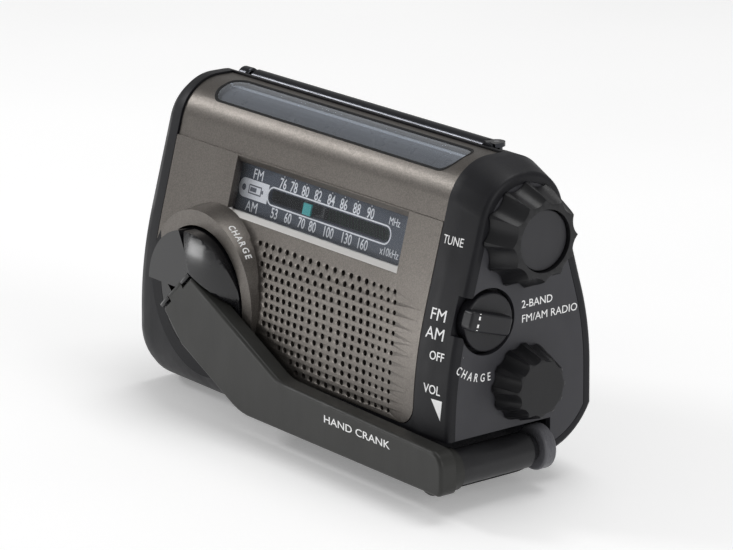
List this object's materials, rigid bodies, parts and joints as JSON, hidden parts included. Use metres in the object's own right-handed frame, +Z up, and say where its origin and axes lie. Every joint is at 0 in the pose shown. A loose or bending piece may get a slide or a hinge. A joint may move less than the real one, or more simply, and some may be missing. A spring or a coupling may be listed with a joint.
{
  "type": "emergency radio",
  "caption": "Hand-cranked AM/FM emergency radio with folding crank, solar strip, tuning dial, side knobs and telescopic antenna.",
  "frame": {"origin": "middle of the flat base, on the ground", "axes": "+X to the radio's right end with the control knobs, +Y to the back, +Z up"},
  "size_m": [0.1304, 0.0518, 0.0776],
  "materials": {
    "black_case": "fine sparkle-textured satin moulding",
    "control_plate": "fine matte texture with printed marks",
    "panel_metal": "satin metallic warm grey",
    "ring_metal": "satin metallic warm grey",
    "solar_cover": "clear gloss cover",
    "solar_blue": "dark blue-grey cells with fine fingers",
    "dial_clear": "clear gloss window",
    "dial_print": "dark blue-black with white print",
    "pointer_teal": "teal",
    "cloth": "black dust cloth",
    "steel": "bright",
    "speaker_paper": "pressed paper cone",
    "ferrite_grey": "sintered ferrite",
    "gloss_black": "glossy moulding",
    "crank_black": "satin moulding",
    "grip_black": "satin gloss sleeve",
    "gear_white": "acetal",
    "brass": "turned",
    "gear_plate": "moulded",
    "knob_black": "soft satin moulding",
    "knob_cap": "satin disc",
    "selector_black": "satin moulding",
    "part_clear": "translucent moulding",
    "part_black": "moulded",
    "board_green": "solder mask",
    "copper": "enamelled wire",
    "pack_wrap": "heat-shrink wrap",
    "cell_wrap": "plain wrap",
    "contact_metal": "nickel plate",
    "lamp_clear": "clear lens",
    "chrome": "vacuum-metallised",
    "rubber": "matte rubber",
    "antenna_chrome": "dark chrome plate"
  },
  "bodies": {
    "casing": {"left_cap": "black_case", "right_cap": "black_case", "control_panel": "control_plate", "front_panel": "panel_metal", "front_base": "black_case", "rear_housing": "black_case", "crank_ring": "ring_metal", "solar_window": "solar_cover", "solar_cell": "solar_blue", "dial_window": "dial_clear", "dial_scale": "dial_print", "grille_cloth": "cloth", "speaker_frame": "steel", "speaker_cone": "speaker_paper", "speaker_magnet": "ferrite_grey", "generator_can": "steel", "gear_plate": "gear_plate", "tuning_capacitor": "part_clear", "band_switch": "part_black", "volume_pot": "part_black", "main_board": "board_green", "ferrite_rod": "ferrite_grey", "antenna_coil": "copper", "battery_pack": "pack_wrap", "dry_cells": "cell_wrap", "battery_bay": "part_black", "battery_contacts": "contact_metal", "lamp_lens": "lamp_clear", "lamp_reflector": "chrome", "earphone_jack": "part_black", "charge_jack": "contact_metal", "strap_eyelet": "black_case", "rubber_feet": "rubber", "case_screws": "steel"},
    "crank_rotor": {"crank_rotor": "gloss_black", "crank_hinge_pin": "steel", "crank_shaft": "steel", "drive_gear": "gear_white"},
    "crank_arm": {"crank_arm": "crank_black", "grip_pin": "steel"},
    "grip": {"grip_sleeve": "grip_black", "grip_cap": "gloss_black"},
    "idler_gear": {"idler_gear": "gear_white"},
    "generator_rotor": {"generator_rotor": "brass"},
    "tuning_knob": {"tuning_knob": "knob_black", "tuning_knob_cap": "knob_cap", "tuning_shaft": "brass"},
    "dial_pointer": {"dial_pointer": "pointer_teal"},
    "band_selector": {"band_selector": "selector_black"},
    "volume_knob": {"volume_knob": "knob_black", "volume_shaft": "brass"},
    "antenna_base": {"antenna_base": "antenna_chrome", "antenna_pivot": "steel"},
    "antenna_tube_1": {"antenna_tube_1": "antenna_chrome"},
    "antenna_tube_2": {"antenna_tube_2": "antenna_chrome"},
    "antenna_tube_3": {"antenna_tube_3": "antenna_chrome"},
    "battery_door": {"battery_door": "black_case"},
    "lamp_switch": {"lamp_switch": "knob_black"},
    "jack_cover": {"jack_cover": "rubber"}
  },
  "joints": [
    {"name": "crank_turn", "type": "hinge", "parent": "casing", "child": "crank_rotor", "pos_m": [-0.0312, -0.02, 0.0298], "axis": [0, 1, 0], "range_deg": [0, 300]},
    {"name": "crank_unfold", "type": "hinge", "parent": "crank_rotor", "child": "crank_arm", "pos_m": [-0.035, -0.0288, 0.03085], "axis": [-0.7431, 0, -0.6691], "range_deg": [0, 180]},
    {"name": "grip_spin", "type": "hinge", "parent": "crank_arm", "child": "grip", "pos_m": [0.0596, 0, 0.0099], "axis": [0, 1, 0], "continuous": true},
    {"name": "idler_spin", "type": "hinge", "parent": "casing", "child": "idler_gear", "pos_m": [-0.03443, -0.008, 0.04812], "axis": [0, 1, 0], "continuous": true},
    {"name": "generator_spin", "type": "hinge", "parent": "casing", "child": "generator_rotor", "pos_m": [-0.02843, -0.005, 0.05851], "axis": [0, 1, 0], "continuous": true},
    {"name": "tuning_turn", "type": "hinge", "parent": "casing", "child": "tuning_knob", "pos_m": [0.062, -0.0002, 0.0606], "axis": [-1, 0, 0], "range_deg": [-330, 700]},
    {"name": "dial_slide", "type": "slide", "parent": "casing", "child": "dial_pointer", "axis": [1, 0, 0], "range_m": [-0.0131, 0.0276]},
    {"name": "band_select", "type": "hinge", "parent": "casing", "child": "band_selector", "pos_m": [0.06, -0.0107, 0.0423], "axis": [1, 0, 0], "range_deg": [-25, 75]},
    {"name": "volume_turn", "type": "hinge", "parent": "casing", "child": "volume_knob", "pos_m": [0.062, -0.0005, 0.0264], "axis": [-1, 0, 0], "range_deg": [-140, 140]},
    {"name": "antenna_turn", "type": "hinge", "parent": "casing", "child": "antenna_base", "pos_m": [0.042, 0.0064, 0.0753], "axis": [0, 1, 0], "range_deg": [0, 120]},
    {"name": "antenna_tilt", "type": "hinge", "parent": "antenna_base", "child": "antenna_tube_1", "pos_m": [0.042, 0.0064, 0.0753], "axis": [0, 0, -1], "range_deg": [0, 90]},
    {"name": "antenna_slide_2", "type": "slide", "parent": "antenna_tube_1", "child": "antenna_tube_2", "axis": [-1, 0, 0], "range_m": [0, 0.078]},
    {"name": "antenna_slide_3", "type": "slide", "parent": "antenna_tube_2", "child": "antenna_tube_3", "axis": [-1, 0, 0], "range_m": [0, 0.076]},
    {"name": "battery_door_open", "type": "hinge", "parent": "casing", "child": "battery_door", "pos_m": [0, 0.0213, 0.016], "axis": [-1, 0, 0], "range_deg": [0, 95]},
    {"name": "lamp_switch_slide", "type": "slide", "parent": "casing", "child": "lamp_switch", "axis": [0, 0, 1], "range_m": [0, 0.0045]},
    {"name": "jack_cover_open", "type": "hinge", "parent": "casing", "child": "jack_cover", "pos_m": [-0.0614, 0.006, 0.0158], "axis": [0, -1, 0], "range_deg": [0, 100]}
  ],
  "couplings": [
    {"joint": "idler_spin", "follows": "crank_turn", "ratio": -4.1667},
    {"joint": "generator_spin", "follows": "crank_turn", "ratio": 16.667},
    {"joint": "dial_slide", "follows": "tuning_turn", "m_per_rad": 0.00224}
  ]
}
